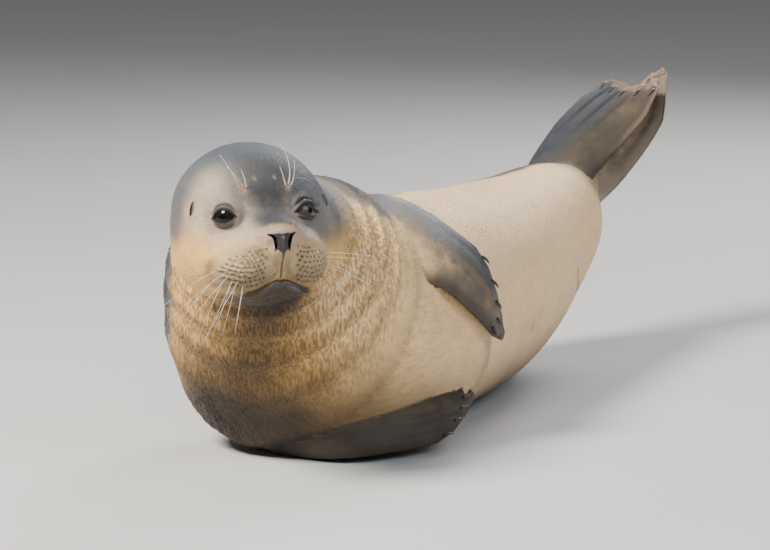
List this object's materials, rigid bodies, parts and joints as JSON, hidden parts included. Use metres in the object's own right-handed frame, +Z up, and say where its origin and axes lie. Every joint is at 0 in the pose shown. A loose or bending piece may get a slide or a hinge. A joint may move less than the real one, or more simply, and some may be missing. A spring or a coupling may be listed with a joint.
{
  "type": "harbor seal",
  "caption": "Life-size harbor seal resting on its side on the floor, head raised and turned to the viewer, hind flippers lifted and closed together.",
  "frame": {"origin": "centre of the model's bounding box, on the floor it rests on", "axes": "+Z up, -Y the way the seal faces, +Y towards its hind flippers, +X the side its belly turns to"},
  "size_m": [0.6634, 1.07, 0.3928],
  "materials": {
    "fur": "short flat fur, tan and cream below, blue-grey on the crown and back",
    "flipper_fur": "short sleek dark grey fur with paler digit edges",
    "nose_leather": "damp black leathery skin",
    "eye": "wet, near-black, glossy",
    "claw": "dark horn, glossy"
  },
  "bodies": {
    "root": {"head": "fur", "neck": "fur", "chest": "fur", "belly": "fur", "hips": "fur", "tail": "fur", "foreflipper_left": "flipper_fur", "foreflipper_right": "flipper_fur", "hindflipper_left": "flipper_fur", "hindflipper_right": "flipper_fur", "nose": "nose_leather", "eye_left": "eye", "eye_right": "eye", "claw_fore_left_1": "claw", "claw_fore_left_2": "claw", "claw_fore_left_3": "claw", "claw_fore_left_4": "claw", "claw_fore_left_5": "claw", "claw_fore_right_1": "claw", "claw_fore_right_2": "claw", "claw_fore_right_3": "claw", "claw_fore_right_4": "claw", "claw_fore_right_5": "claw", "claw_hind_left_1": "claw", "claw_hind_left_2": "claw", "claw_hind_left_3": "claw", "claw_hind_left_4": "claw", "claw_hind_left_5": "claw", "claw_hind_right_1": "claw", "claw_hind_right_2": "claw", "claw_hind_right_3": "claw", "claw_hind_right_4": "claw", "claw_hind_right_5": "claw"}
  },
  "joints": []
}
